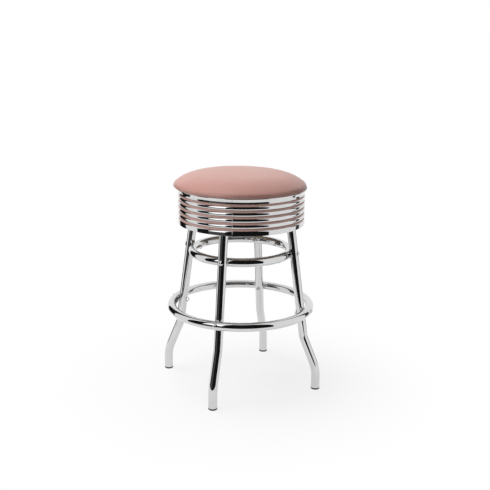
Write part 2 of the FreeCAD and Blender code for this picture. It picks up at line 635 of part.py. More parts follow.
swivel_washer = turned_piece("swivel_washer", spot("0", "0"),
                             [(pin_hole, WASHER_BOTTOM), ("Sizes.washer_radius", WASHER_BOTTOM),
                              ("Sizes.washer_radius", WASHER_TOP), (pin_hole, WASHER_TOP)], count=1)
swivel_nut = new_body("swivel_nut")
nut_outline = new_sketch(swivel_nut, "swivel_nut_hexagon", "XY_Plane", spot("0", PIN_NUT_BOTTOM))
draw_hexagon(nut_outline, "Sizes.pin_nut_flats")
draw_circle(nut_outline, "0", "0", pin_hole)
pad(swivel_nut, nut_outline, "swivel_nut_pad", "Sizes.pin_nut_height")


# Bolts that hold the legs to the lower plate

leg_plate_bolts = new_body("leg_plate_bolts")
leg_plate_nuts = new_body("leg_plate_nuts")
NUT_TOP = f"(Sizes.leg_top_height - {TUBE_RADIUS} - Sizes.seat_gap)"
bolt_tip = f"({NUT_TOP} - Sizes.plate_nut_height - Sizes.plate_bolt_stub)"
bolt_seat = f"({LOWER_FLANGE_TOP} + Sizes.seat_gap)"
bolt_features = []
nut_features = []
for place, reach in enumerate(["Sizes.inner_bolt_reach", "Sizes.outer_bolt_reach"], start=1):
    upright = "placement(vector(0; 0; 0); rotation(vector(1; 0; 0); 90))"
    section = new_sketch(leg_plate_bolts, f"plate_bolt_section_{place}", "XY_Plane",
                         f"{spot(reach, '0')} * {upright}")
    draw_outline(section, [("0", bolt_tip), ("Sizes.bolt_radius", bolt_tip), ("Sizes.bolt_radius", bolt_seat),
                           ("Sizes.plate_head_radius", bolt_seat),
                           ("0", f"({bolt_seat} + Sizes.plate_head_height)")], domed=3)
    bolt_features.append(revolve(leg_plate_bolts, section, f"plate_bolt_{place}"))
    outline = new_sketch(leg_plate_nuts, f"plate_nut_hexagon_{place}", "XY_Plane",
                         spot(reach, f"({NUT_TOP} - Sizes.plate_nut_height)"))
    draw_hexagon(outline, "Sizes.plate_nut_flats")
    draw_circle(outline, "0", "0", "(Sizes.bolt_radius + Sizes.thread_gap)")
    nut_features.append(pad(leg_plate_nuts, outline, f"plate_nut_{place}", "Sizes.plate_nut_height"))
polar_pattern(leg_plate_bolts, bolt_features, "plate_bolts_round", LEG_COUNT)
polar_pattern(leg_plate_nuts, nut_features, "plate_nuts_round", LEG_COUNT)


# Bolts from the upper plate into tee nuts in the seat board

PLATE_SEAT = f"({UPPER_FLANGE_BOTTOM} - Sizes.seat_gap)"
TEE_TOP = f"({BOARD_TOP} - Sizes.seat_gap)"
TEE_FLANGE_BOTTOM = f"({TEE_TOP} - Sizes.tee_flange_thickness)"
TEE_BOTTOM = f"({TEE_FLANGE_BOTTOM} - Sizes.tee_barrel_length)"
tee_bore = "(Sizes.bolt_radius + Sizes.thread_gap)"
board_bolts = turned_piece("board_bolts", spot("Sizes.board_bolt_reach", "0"),
                           [("0", TEE_FLANGE_BOTTOM), ("Sizes.bolt_radius", TEE_FLANGE_BOTTOM),
                            ("Sizes.bolt_radius", PLATE_SEAT), ("Sizes.board_head_radius", PLATE_SEAT),
                            ("0", f"({PLATE_SEAT} - Sizes.board_head_height)")], domed=3)
board_tee_nuts = turned_piece("board_tee_nuts", spot("Sizes.board_bolt_reach", "0"),
                              [(tee_bore, TEE_BOTTOM), ("Sizes.tee_barrel_radius", TEE_BOTTOM),
                               ("Sizes.tee_barrel_radius", TEE_FLANGE_BOTTOM),
                               ("Sizes.tee_flange_radius", TEE_FLANGE_BOTTOM),
                               ("Sizes.tee_flange_radius", TEE_TOP), (tee_bore, TEE_TOP)])

for group in (leg_plate_bolts, leg_plate_nuts, board_bolts, board_tee_nuts):
    group.Placement = FreeCAD.Placement(FreeCAD.Vector(), FreeCAD.Rotation(FreeCAD.Vector(0, 0, 1),
                                                                           FIRST_LEG_AZIMUTH))

# Staples that hold the cover's hem under the board

STAPLE_COUNT = 16
cover_staples = new_body("cover_staples")
staple_frame = turned_to(f"{180 / STAPLE_COUNT}")
HEM_BOTTOM = f"({BOARD_BOTTOM} - Sizes.seat_gap - Sizes.skirt_thickness)"
half_wire = "(Sizes.staple_wire / 2)"
half_crown = "(Sizes.staple_crown / 2)"
crown_sketch = new_sketch(cover_staples, "staple_crown", "XY_Plane",
                          f"{staple_frame} * {spot('Sizes.staple_reach', f'({HEM_BOTTOM} - Sizes.staple_flat)')}")
draw_outline(crown_sketch, [(half_wire, f"-{half_crown}"), (half_wire, half_crown),
                            (f"-{half_wire}", half_crown), (f"-{half_wire}", f"-{half_crown}")])
staple_features = [pad(cover_staples, crown_sketch, "staple_bar", "Sizes.staple_flat")]
for place, sign in enumerate("-+", start=1):
    leg_sketch = new_sketch(cover_staples, f"staple_leg_{place}", "XY_Plane",
                            f"{staple_frame} * {spot('Sizes.staple_reach', f'({HEM_BOTTOM} - Sizes.staple_flat)')}")
    outside = f"({sign}{half_crown})"
    inside = f"({sign}({half_crown} - Sizes.staple_flat))"
    draw_outline(leg_sketch, [(half_wire, inside), (half_wire, outside),
                              (f"-{half_wire}", outside), (f"-{half_wire}", inside)])
    staple_features.append(pad(cover_staples, leg_sketch, f"staple_prong_{place}", "Sizes.staple_leg"))
polar_pattern(cover_staples, staple_features, "staples_round", STAPLE_COUNT)

# Seat board

board_blank = new_body("board_blank")
board_outline = new_sketch(board_blank, "board_outline", "XY_Plane", spot("0", BOARD_BOTTOM))
draw_circle(board_outline, "0", "0", "Sizes.board_radius")
pad(board_blank, board_outline, "board_disc", "Sizes.board_thickness")
recess = new_sketch(board_blank, "pin_recess", "XY_Plane", spot("0", BOARD_BOTTOM))
draw_circle(recess, "0", "0", "Sizes.recess_radius")
pocket(board_blank, recess, "pin_recess_cut", "Sizes.recess_depth")
barrel_hole = new_sketch(board_blank, "barrel_hole", "XY_Plane",
                         f"{spot('0', BOARD_BOTTOM)} * {turned_to(FIRST_LEG_AZIMUTH)}")
draw_circle(barrel_hole, "Sizes.board_bolt_reach", "0", "(Sizes.tee_barrel_radius + Sizes.seat_gap)")
flange_seat = new_sketch(board_blank, "flange_seat", "XY_Plane",
                         f"{spot('0', BOARD_TOP)} * {turned_to(FIRST_LEG_AZIMUTH)}")
draw_circle(flange_seat, "Sizes.board_bolt_reach", "0", "(Sizes.tee_flange_radius + Sizes.seat_gap)")
screw_hole = new_sketch(board_blank, "screw_hole", "XY_Plane", spot("0", BOARD_BOTTOM))
draw_circle(screw_hole, "Sizes.screw_reach", "0", "(Sizes.screw_radius + Sizes.thread_gap)")
board_holes = [pocket(board_blank, barrel_hole, "barrel_bore", "Sizes.board_thickness"),
               pocket(board_blank, flange_seat, "flange_counterbore",
                      "(Sizes.tee_flange_thickness + 2 * Sizes.seat_gap)", forward=False),
               pocket(board_blank, screw_hole, "screw_bore", "Sizes.screw_length")]
polar_pattern(board_blank, board_holes, "board_holes_round", LEG_COUNT)
seat_board = cut("seat_board", board_blank, cover_staples)


# Cushion: flat crown, round shoulder and rim in tangent arcs, tucked under on to the lip

def draw_cushion(sketch, inset):
    """Profile of the padding from its crown to the lip, inset from the cover's outer face."""
    crown = number(f"({CROWN} - {inset})")
    crown_bend, shoulder_bend, rim_bend, tuck_bend = (
        number(f"(Sizes.{name} - {inset})") for name in ("crown_bend", "shoulder_bend", "rim_bend", "tuck_bend"))
    crown_centre = FreeCAD.Vector(0, crown - crown_bend, 0)
    rim_centre = FreeCAD.Vector(number(f"(Sizes.cover_radius - Sizes.rim_bend)"), number(RIM_LEVEL), 0)
    tuck_centre = FreeCAD.Vector(number("(Sizes.cover_radius - Sizes.tuck_bend)"), number(RIM_LEVEL), 0)
    far, near = crown_bend - shoulder_bend, shoulder_bend - rim_bend
    line = rim_centre - crown_centre
    along = (far ** 2 - near ** 2 + line.Length ** 2) / (2 * line.Length)
    aside = math.sqrt(far ** 2 - along ** 2)
    unit = FreeCAD.Vector(line).normalize()
    shoulder_centre = crown_centre + unit * along + FreeCAD.Vector(-unit.y, unit.x, 0) * aside

    def heading(start, end):
        return math.atan2(end.y - start.y, end.x - start.x)

    to_crown = heading(crown_centre, shoulder_centre)
    to_rim = heading(shoulder_centre, rim_centre)
    spans = [(tuck_centre, tuck_bend, -math.pi / 2, 0.0),
             (rim_centre, rim_bend, 0.0, to_rim),
             (shoulder_centre, shoulder_bend, to_rim, to_crown),
             (crown_centre, crown_bend, to_crown, math.pi / 2)]
    tuck, rim, shoulder, top = (
        sketch.addGeometry(Part.ArcOfCircle(Part.Circle(centre, FreeCAD.Vector(0, 0, 1), bend), first, last))
        for centre, bend, first, last in spans)
    for lower, upper in ((tuck, rim), (rim, shoulder), (shoulder, top)):
        sketch.addConstraint(Sketcher.Constraint("Tangent", lower, 2, upper, 1))
    for arc, name in ((tuck, "tuck_bend"), (rim, "rim_bend"), (shoulder, "shoulder_bend"), (top, "crown_bend")):
        bind(sketch, "Radius", arc, f"(Sizes.{name} - {inset})")
    sketch.addConstraint(Sketcher.Constraint("PointOnObject", top, 3, -2))
    fix_point(sketch, top, 2, "0", f"({CROWN} - {inset})")
    fix_point(sketch, rim, 1, f"(Sizes.cover_radius - {inset})", RIM_LEVEL)
    sketch.addConstraint(Sketcher.Constraint("Horizontal", tuck, 3, tuck, 2))
    sketch.addConstraint(Sketcher.Constraint("Vertical", tuck, 3, tuck, 1))
    return top, tuck


def close_cushion(sketch, start, end, corners):
    """Join the end of one curve to the start of another with straight lines through corners."""
    places = [sketch.getPoint(*start)] + [FreeCAD.Vector(number(x), number(y), 0) for x, y in corners]
    places.append(sketch.getPoint(*end))
    before = start
    for place in range(len(places) - 1):
        line = sketch.addGeometry(Part.LineSegment(places[place], places[place + 1]))
        sketch.addConstraint(Sketcher.Constraint("Coincident", *before, line, 1))
        if place < len(corners):
            fix_point(sketch, line, 2, *corners[place])
        before = (line, 2)
    sketch.addConstraint(Sketcher.Constraint("Coincident", *before, *end))


foam_pad = new_body("foam_pad")
foam_sketch = new_sketch(foam_pad, "foam_section")
foam_inset = "(Sizes.cover_thickness + Sizes.pad_gap)"
foam_top, foam_tuck = draw_cushion(foam_sketch, foam_inset)
foam_bottom = f"({BOARD_TOP} + Sizes.seat_gap)"
foam_side = f"({SKIRT_INSIDE} - Sizes.seat_gap)"
close_cushion(foam_sketch, (foam_top, 2), (foam_tuck, 1),
              [("0", foam_bottom), (foam_side, foam_bottom),
               (foam_side, f"({TUCK_LEVEL} + {foam_inset})")])
revolve(foam_pad, foam_sketch, "foam_dome")

cover_form = new_body("cover_form")
cover_sketch = new_sketch(cover_form, "cover_section")
outer_top, outer_tuck = draw_cushion(cover_sketch, "0")
inner_top, inner_tuck = draw_cushion(cover_sketch, "Sizes.cover_thickness")
close_cushion(cover_sketch, (outer_top, 2), (inner_top, 2), [])
HEM_TOP = f"({BOARD_BOTTOM} - Sizes.seat_gap)"
HEM_EDGE = "(Sizes.board_radius - Sizes.hem_width)"
close_cushion(cover_sketch, (inner_tuck, 1), (outer_tuck, 1),
              [(SKIRT_INSIDE, f"({TUCK_LEVEL} + Sizes.cover_thickness)"), (SKIRT_INSIDE, HEM_TOP),
               (HEM_EDGE, HEM_TOP), (HEM_EDGE, HEM_BOTTOM), (SKIRT_OUTSIDE, HEM_BOTTOM),
               (SKIRT_OUTSIDE, TUCK_LEVEL)])
revolve(cover_form, cover_sketch, "cover_shell")
vinyl_cover = cut("vinyl_cover", cover_form, cover_staples)

# Ribbed band: a rolled strip with hollow ribs, a rounded lip above and a plain flange below

AROUND = "(360 - Sizes.seam_angle)"
ribbed_band = new_body("ribbed_band")
wall_sketch = new_sketch(ribbed_band, "wall_section")
WALL_BOTTOM = f"({FLANGE_RIB} + {RIB_WIDTH} / 2 - Sizes.band_sheet)"
draw_outline(wall_sketch, [(BAND_BORE, WALL_BOTTOM), (GROOVE_FLOOR, WALL_BOTTOM),
                           (GROOVE_FLOOR, LIP_TOP), (BAND_BORE, LIP_TOP)])
revolve(ribbed_band, wall_sketch, "wall", angle=AROUND)

rib_sketch = new_sketch(ribbed_band, "rib_section")
draw_circle(rib_sketch, RIB_CENTRE_REACH, TOP_RIB, RIB_RADIUS)
rib = revolve(ribbed_band, rib_sketch, "rib", angle=AROUND)
hollow_sketch = new_sketch(ribbed_band, "rib_hollow_section")
draw_circle(hollow_sketch, RIB_CENTRE_REACH, TOP_RIB, f"({RIB_RADIUS} - Sizes.band_sheet)")
rib_hollow = revolve(ribbed_band, hollow_sketch, "rib_hollow", kind="Groove")
ribs = ribbed_band.newObject("PartDesign::LinearPattern", "ribs")
ribs.Originals = [rib, rib_hollow]
ribs.Direction = (origin_feature(ribbed_band, "Z_Axis"), [""])
ribs.Reversed = True
ribs.setExpression("Length", f"({RIB_COUNT - 1} * Sizes.rib_pitch)")
ribs.Occurrences = RIB_COUNT
ribbed_band.Tip = ribs

bore_sketch = new_sketch(ribbed_band, "bore_section")
bore_inside = f"({RIB_CENTRE_REACH} - 2 * {RIB_RADIUS})"
draw_outline(bore_sketch, [(bore_inside, BAND_BOTTOM), (BAND_BORE, BAND_BOTTOM),
                           (BAND_BORE, f"({LIP_TOP} + Sizes.rib_pitch)"),
                           (bore_inside, f"({LIP_TOP} + Sizes.rib_pitch)")])
revolve(ribbed_band, bore_sketch, "bore", kind="Groove")

lip_sketch = new_sketch(ribbed_band, "lip_section")
nose_reach = f"({BAND_BORE} + Sizes.lip_width)"
LIP_MIDDLE = f"({LIP_BOTTOM} + Sizes.lip_thickness / 2)"
draw_outline(lip_sketch, [(BAND_BORE, LIP_BOTTOM), (nose_reach, LIP_BOTTOM),
                          (nose_reach, LIP_TOP), (BAND_BORE, LIP_TOP)])
revolve(ribbed_band, lip_sketch, "lip", angle=AROUND)
nose_sketch = new_sketch(ribbed_band, "lip_nose_section")
draw_circle(nose_sketch, nose_reach, LIP_MIDDLE, "(Sizes.lip_thickness / 2)")
revolve(ribbed_band, nose_sketch, "lip_nose", angle=AROUND)


def draw_flange(sketch):
    """Half a rib from the lowest groove to its crest, then a straight wall down to the edge."""
    up = FreeCAD.Vector(0, 0, 1)
    centre = FreeCAD.Vector(number(RIB_CENTRE_REACH), number(FLANGE_RIB), 0)
    outer, sheet_size = number(RIB_RADIUS), number("Sizes.band_sheet")
    swing = math.asin(number(RIB_WIDTH) / 2 / outer)
    bottom = number(BAND_BOTTOM)
    arcs = []
    for radius in (outer, outer - sheet_size):
        arcs.append(sketch.addGeometry(Part.ArcOfCircle(Part.Circle(centre, up, radius), 0, swing)))
    crest, inner_crest = centre.x + outer, centre.x + outer - sheet_size
    down = sketch.addGeometry(Part.LineSegment(FreeCAD.Vector(crest, centre.y, 0),
                                               FreeCAD.Vector(crest, bottom, 0)))
    across = sketch.addGeometry(Part.LineSegment(FreeCAD.Vector(crest, bottom, 0),
                                                 FreeCAD.Vector(inner_crest, bottom, 0)))
    back_up = sketch.addGeometry(Part.LineSegment(FreeCAD.Vector(inner_crest, bottom, 0),
                                                  FreeCAD.Vector(inner_crest, centre.y, 0)))
    close = sketch.addGeometry(Part.LineSegment(sketch.getPoint(arcs[1], 2), sketch.getPoint(arcs[0], 2)))
    joins = [(arcs[0], 1, down, 1), (down, 2, across, 1), (across, 2, back_up, 1),
             (back_up, 2, arcs[1], 1), (arcs[1], 2, close, 1), (close, 2, arcs[0], 2)]
    for join in joins:
        sketch.addConstraint(Sketcher.Constraint("Coincident", *join))
    sketch.addConstraint(Sketcher.Constraint("Coincident", arcs[0], 3, arcs[1], 3))
    fix_point(sketch, arcs[0], 3, RIB_CENTRE_REACH, FLANGE_RIB)
    fix_point(sketch, down, 1, RIB_CREST, FLANGE_RIB)
    fix_point(sketch, down, 2, RIB_CREST, BAND_BOTTOM)
    fix_point(sketch, across, 2, f"({RIB_CREST} - Sizes.band_sheet)", BAND_BOTTOM)
    fix_point(sketch, back_up, 2, f"({RIB_CREST} - Sizes.band_sheet)", FLANGE_RIB)
    bind(sketch, "DistanceY", -1, 1, arcs[0], 2, f"({FLANGE_RIB} + {RIB_WIDTH} / 2)")
    sketch.addConstraint(Sketcher.Constraint("PointOnObject", arcs[0], 3, close))


flange_sketch = new_sketch(ribbed_band, "flange_section")
draw_flange(flange_sketch)
revolve(ribbed_band, flange_sketch, "flange", angle=AROUND)


# Coloured strips laid in the grooves, butted at the band's seam

def make_inlay(place):
    body = new_body(f"inlay_strip_{place + 1}")
    sketch = new_sketch(body, f"inlay_section_{place + 1}")
    back = f"({GROOVE_FLOOR} + Sizes.inlay_gap)"
    face = f"({back} + Sizes.inlay_thickness)"
    middle = f"({TOP_GROOVE} - {place} * Sizes.rib_pitch)"
    half = "(Sizes.groove_width / 2 - Sizes.inlay_gap)"
    draw_outline(sketch, [(back, f"({middle} - {half})"), (face, f"({middle} - {half})"),
                          (face, f"({middle} + {half})"), (back, f"({middle} + {half})")])
    revolve(body, sketch, f"inlay_ring_{place + 1}", angle=AROUND)
    return body


inlay_strips = [make_inlay(place) for place in range(RIB_COUNT)]
for piece in [ribbed_band] + inlay_strips:
    piece.setExpression("Placement", turned_to("Sizes.seam_azimuth"))

# Angle brackets that carry the band on the board

band_brackets = new_body("band_brackets")
bracket_sketch = new_sketch(band_brackets, "bracket_section", "XZ_Plane")
leaf_top = f"({HEM_BOTTOM} - Sizes.seat_gap)"
leaf_bottom = f"({leaf_top} - Sizes.bracket_sheet)"
upright_face = f"({BAND_BORE} - Sizes.seat_gap)"
upright_back = f"({upright_face} - Sizes.bracket_sheet)"
leaf_end = f"({upright_face} - Sizes.bracket_leaf)"
upright_end = f"({leaf_top} - Sizes.bracket_drop)"
draw_outline(bracket_sketch, [(leaf_end, leaf_top), (leaf_end, leaf_bottom), (upright_back, leaf_bottom),
                              (upright_back, upright_end), (upright_face, upright_end),
                              (upright_face, leaf_top)])
bracket = revolve(band_brackets, bracket_sketch, "bracket", angle="Sizes.bracket_sweep")
bracket.Midplane = True
bracket_hole = new_sketch(band_brackets, "bracket_hole", "XY_Plane", spot("0", leaf_bottom))
draw_circle(bracket_hole, "Sizes.screw_reach", "0", "(Sizes.screw_radius + Sizes.bolt_gap)")
bracket_drilled = pocket(band_brackets, bracket_hole, "bracket_drilled", "Sizes.bracket_sheet")
polar_pattern(band_brackets, [bracket, bracket_drilled], "brackets_round", LEG_COUNT)

screw_seat = f"({leaf_bottom} - Sizes.seat_gap)"
screw_tip = f"({screw_seat} + Sizes.screw_length)"
bracket_screws = turned_piece("bracket_screws", spot("Sizes.screw_reach", "0"),
                              [("0", screw_tip), ("Sizes.screw_radius", screw_tip),
                               ("Sizes.screw_radius", screw_seat), ("Sizes.screw_head_radius", screw_seat),
                               ("0", f"({screw_seat} - Sizes.screw_head_height)")], domed=3)

# Check every piece, then write one file for each

document.recompute()
for item in document.Objects:
    if "Invalid" in item.State or "Error" in item.State:
        raise RuntimeError(f"{item.Label} failed: {item.State}")

nodes = legs + glides + inlay_strips + [
    upper_ring, footrest_ring, upper_ring_bolts, upper_ring_nuts, footrest_bolts, footrest_nuts,
    swivel_base_plate, leg_plate_bolts, leg_plate_nuts, swivel_pin, swivel_washer, swivel_nut,
    ball_cage, bearing_balls, swivel_top_plate, board_bolts, board_tee_nuts, seat_board, foam_pad,
    vinyl_cover, cover_staples, ribbed_band, band_brackets, bracket_screws]
for node in nodes:
    if node.Shape.isNull() or not node.Shape.isValid() or not node.Shape.Solids:
        raise RuntimeError(f"{node.Label} has no valid solid")

os.makedirs("parts", exist_ok=True)
for node in nodes:
    node.Shape.exportStep(f"parts/{node.Label}.step")
    box = node.Shape.optimalBoundingBox(False)
    print(f"{node.Label:22s} {len(node.Shape.Solids):3d} solids {node.Shape.Volume:11.1f} mm3  "
          f"z {box.ZMin:7.2f} to {box.ZMax:7.2f}  reach {box.XMax:7.2f}")
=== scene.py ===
import json
import math

import bpy
from mathutils import Matrix, Vector


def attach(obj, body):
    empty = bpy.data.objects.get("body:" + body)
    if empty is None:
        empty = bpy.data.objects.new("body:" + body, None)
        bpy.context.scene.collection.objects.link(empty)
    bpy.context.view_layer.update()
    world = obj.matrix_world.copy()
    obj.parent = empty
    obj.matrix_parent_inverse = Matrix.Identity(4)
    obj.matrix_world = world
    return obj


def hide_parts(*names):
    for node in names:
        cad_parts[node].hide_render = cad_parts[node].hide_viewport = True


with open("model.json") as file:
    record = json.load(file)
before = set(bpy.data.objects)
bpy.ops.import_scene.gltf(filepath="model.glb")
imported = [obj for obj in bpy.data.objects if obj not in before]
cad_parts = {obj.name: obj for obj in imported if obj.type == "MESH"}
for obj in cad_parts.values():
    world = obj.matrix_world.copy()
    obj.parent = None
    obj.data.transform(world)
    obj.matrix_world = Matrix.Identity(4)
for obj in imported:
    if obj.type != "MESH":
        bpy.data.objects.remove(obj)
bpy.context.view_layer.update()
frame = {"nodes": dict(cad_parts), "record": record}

MM = 0.001

# The photographer's place: the camera stands to the left of -Y and looks down at the stool

CAMERA_AZIMUTH = -26.35
CAMERA_DISTANCE = 2.3811
CAMERA_HEIGHT = 1.0293
CAMERA_TURN = -0.27
CAMERA_PITCH = 14.43
CAMERA_ROLL = 0.58
CAMERA_LENS = 61.74

# Sizes shared with the solid model

TUBE_RADIUS = 12.7 * MM
TUBE_WALL = 1.5 * MM
LEG_PATH = [(234.9, 5.1), (234.9, 62.0), (194.6, 157.8), (142.4, 535.0), (62.0, 535.0)]
LEG_BENDS = [118.0, 50.0, 45.0]
LEG_AZIMUTHS = {"leg_back_right": 45, "leg_back_left": 135, "leg_front_left": 225, "leg_front_right": 315}
SADDLE_GAP = 0.1 * MM
AXIS_SPACING = 20.0 * MM
UPPER_RING_HEIGHT = 402.0 * MM
FOOTREST_HEIGHT = 235.5 * MM

BAND_BORE = 179.4 * MM
BAND_SHEET = 1.0 * MM
GROOVE_FLOOR = BAND_BORE + BAND_SHEET
RIB_PITCH = 16.8 * MM
GROOVE_WIDTH = 6.4 * MM
RIB_HEIGHT = 2.5 * MM
TOP_GROOVE = 571.0 * MM
RIB_COUNT = 5
BAND_BOTTOM = 487.0 * MM
LIP_TOP = 589.75 * MM
LIP_EDGE = 1.2 * MM
TOP_STEP = 1.2 * MM
TOP_WALL = 4.0 * MM
FLARE_BEND = 3.0 * MM
FLARE_ANGLE = 27
SEAM_AZIMUTH = -124
SEAM_ANGLE = 0.15
INLAY_GAP = 0.1 * MM
INLAY_THICKNESS = 1.2 * MM
INLAY_CROWN = 0.8 * MM

BOARD_TOP = 579.0 * MM
COVER_RADIUS = 191.0 * MM
CROWN = 637.0 * MM
CROWN_BEND = 1280.0 * MM
SHOULDER_BEND = 133.0 * MM
RIM_BEND = 14.0 * MM
TUCK_BEND = 3.5 * MM
TUCK_LEVEL = 590.05 * MM


# Ways to start, shape and finish a piece by hand

def only(piece):
    """Select one object and make it the active one."""
    bpy.ops.object.select_all(action="DESELECT")
    piece.select_set(True)
    bpy.context.view_layer.objects.active = piece


def start_outline(name, x, z):
    """A new mesh of a single point in the XZ plane: a plane merged to its middle."""
    bpy.ops.object.select_all(action="DESELECT")
    bpy.ops.mesh.primitive_plane_add(size=MM, location=(0, 0, 0))
    piece = bpy.context.object
    piece.name = name
    bpy.ops.object.mode_set(mode="EDIT")
    bpy.ops.mesh.select_all(action="SELECT")
    bpy.ops.mesh.merge(type="CENTER")
    bpy.ops.transform.translate(value=(x, 0, z))
    return piece


def pull(x, z):
    """Extrude the chosen end by a step in the XZ plane."""
    bpy.ops.mesh.extrude_region_move(TRANSFORM_OT_translate={"value": (x, 0, z)})


def swing(x, z, degrees, steps):
    """Spin the chosen end about a point of the XZ plane; a positive swing turns from +X to +Z."""
    bpy.ops.mesh.spin(steps=steps, angle=math.radians(degrees), center=(x, 0, z), axis=(0, 1, 0))


def turn_round(steps, degrees=360):
    """Spin the whole outline about the stool's axis."""
    bpy.ops.mesh.select_all(action="SELECT")
    bpy.ops.mesh.spin(steps=steps, angle=math.radians(degrees), center=(0, 0, 0), axis=(0, 0, -1))


def tidy_mesh():
    """Merge what meets and face everything outwards, then leave edit mode."""
    bpy.ops.mesh.select_all(action="SELECT")
    bpy.ops.mesh.remove_doubles(threshold=0.001 * MM)
    bpy.ops.mesh.normals_make_consistent(inside=False)
    bpy.ops.object.mode_set(mode="OBJECT")


def place_piece(piece, azimuth=0):
    """Turn a finished piece about the axis and leave its place in its mesh."""
    only(piece)
    piece.rotation_euler = (0, 0, math.radians(azimuth))
    bpy.ops.object.transform_apply(location=True, rotation=True, scale=True)


def use_modifier(piece, kind, **settings):
    only(piece)
    modifier = piece.modifiers.new(kind.title(), kind)
    for key, value in settings.items():
        setattr(modifier, key, value)
    bpy.ops.object.modifier_apply(modifier=modifier.name)


def smooth(piece, degrees=35):
    only(piece)
    bpy.ops.object.shade_smooth_by_angle(angle=math.radians(degrees))


def dress(piece, material, body, *nodes):
    """Give the piece its finish and its body, and hide the solids that it stands for."""
    piece.data.materials.clear()
    piece.data.materials.append(FINISHES[material])
    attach(piece, body)
    if nodes:
        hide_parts(*nodes)
    return piece


# Finishes

def new_finish(name):
    """An empty node material with its shader and its coordinates on the object."""
    material = bpy.data.materials.new(name)
    material.use_nodes = True
    nodes = material.node_tree.nodes
    place = nodes.new("ShaderNodeTexCoord").outputs["Object"]
    return material, nodes["Principled BSDF"], place


def add_node(material, kind, **settings):
    """A node whose settings are its attributes, or else values or links for its inputs."""
    node = material.node_tree.nodes.new(kind)
    for key, value in settings.items():
        if hasattr(node, key):
            setattr(node, key, value)
            continue
        socket = node.inputs[int(key[1:])] if key[0] == "i" and key[1:].isdigit() else \
            node.inputs[key.replace("_", " ")]
        if isinstance(value, bpy.types.NodeSocket):
            material.node_tree.links.new(value, socket)
        else:
            socket.default_value = value
    return node


def noise(material, place, scale, detail=4, roughness=0.5, stretch=(1, 1, 1)):
    stretched = add_node(material, "ShaderNodeMapping", Vector=place, Scale=stretch)
    return add_node(material, "ShaderNodeTexNoise", Vector=stretched.outputs[0], Scale=scale, Detail=detail,
                    Roughness=roughness).outputs["Fac"]


def spread(material, value, low, high, before=(0.3, 0.7)):
    """Map a pattern's range on to low and high."""
    return add_node(material, "ShaderNodeMapRange", Value=value, From_Min=before[0], From_Max=before[1],
                    To_Min=low, To_Max=high).outputs[0]


def two_tone(material, value, dark, light):
    ramp = add_node(material, "ShaderNodeValToRGB", Fac=value)
    for element, position, colour in zip(ramp.color_ramp.elements, (0.3, 0.7), (dark, light)):
        element.position = position
        element.color = (*colour, 1)
    return ramp.outputs["Color"]


def join(material, shader, **sources):
    for name, source in sources.items():
        material.node_tree.links.new(source, shader.inputs[name.replace("_", " ")])


def bump(material, height, strength, distance, normal=None):
    node = add_node(material, "ShaderNodeBump", Height=height, Strength=strength, Distance=distance)
    if normal:
        material.node_tree.links.new(normal, node.inputs["Normal"])
    return node.outputs[0]


def make_chrome():
    """Bright plate: a trace of haze and polishing marks, and a tube's faint waviness."""
    material, shader, place = new_finish("chrome")
    haze = noise(material, place, 22, detail=6)
    marks = noise(material, place, 420, detail=3, stretch=(1, 1, 0.25))
    shader.inputs["Metallic"].default_value = 1.0
    tone = two_tone(material, haze, (0.625, 0.625, 0.625), (0.675, 0.675, 0.675))
    wave = bump(material, noise(material, place, 9, detail=1), 0.25, 0.4 * MM)
    join(material, shader, Base_Color=tone, Roughness=spread(material, marks, 0.045, 0.07),
         Normal=bump(material, marks, 0.03, 0.02 * MM, wave))
    return material


def make_zinc():
    """Dull zinc plate with a blotchy passivated film."""
    material, shader, place = new_finish("zinc")
    film = noise(material, place, 35, detail=5)
    grain = noise(material, place, 600, detail=3)
    shader.inputs["Metallic"].default_value = 1.0
    tone = two_tone(material, film, (0.42, 0.43, 0.45), (0.56, 0.56, 0.54))
    join(material, shader, Base_Color=tone, Roughness=spread(material, grain, 0.32, 0.5),
         Normal=bump(material, grain, 0.15, 0.05 * MM))
    return material


def make_ball_steel():
    material, shader, place = new_finish("ball_steel")
    grease = noise(material, place, 140, detail=4)
    shader.inputs["Metallic"].default_value = 1.0
    join(material, shader, Base_Color=two_tone(material, grease, (0.5, 0.48, 0.44), (0.66, 0.66, 0.66)),
         Roughness=spread(material, grease, 0.08, 0.25))
    return material


def make_glide_plastic():
    """Moulded plastic, scuffed where it stands on the floor."""
    material, shader, place = new_finish("glide_plastic")
    texture = noise(material, place, 900, detail=2)
    scuff = noise(material, place, 60, detail=6)
    join(material, shader, Base_Color=two_tone(material, scuff, (0.018, 0.018, 0.019), (0.05, 0.05, 0.052)),
         Roughness=spread(material, scuff, 0.35, 0.6), Normal=bump(material, texture, 0.3, 0.1 * MM))
    return material


def make_plywood():
    """Birch plywood: long grain on the faces and its layers at the edge."""
    material, shader, place = new_finish("plywood")
    grain = noise(material, place, 14, detail=8, roughness=0.65, stretch=(1, 12, 12))
    layers = add_node(material, "ShaderNodeTexWave", Vector=place, wave_type="BANDS", bands_direction="Z",
                      Scale=105, Distortion=0.6, Detail=2).outputs["Fac"]
    both = add_node(material, "ShaderNodeMath", operation="MULTIPLY_ADD", i0=layers, i1=0.3, i2=grain)
    tone = two_tone(material, spread(material, both.outputs[0], 0, 1, (0.35, 0.95)),
                    (0.36, 0.23, 0.12), (0.62, 0.45, 0.27))
    join(material, shader, Base_Color=tone, Roughness=spread(material, grain, 0.55, 0.75),
         Normal=bump(material, grain, 0.2, 0.2 * MM))
    return material


def make_foam():
    material, shader, place = new_finish("foam")
    cells = add_node(material, "ShaderNodeTexVoronoi", Vector=place, Scale=700).outputs["Distance"]
    join(material, shader, Base_Color=two_tone(material, cells, (0.5, 0.42, 0.22), (0.78, 0.7, 0.46)),
         Normal=bump(material, cells, 0.6, 0.5 * MM))
    shader.inputs["Roughness"].default_value = 0.95
    return material


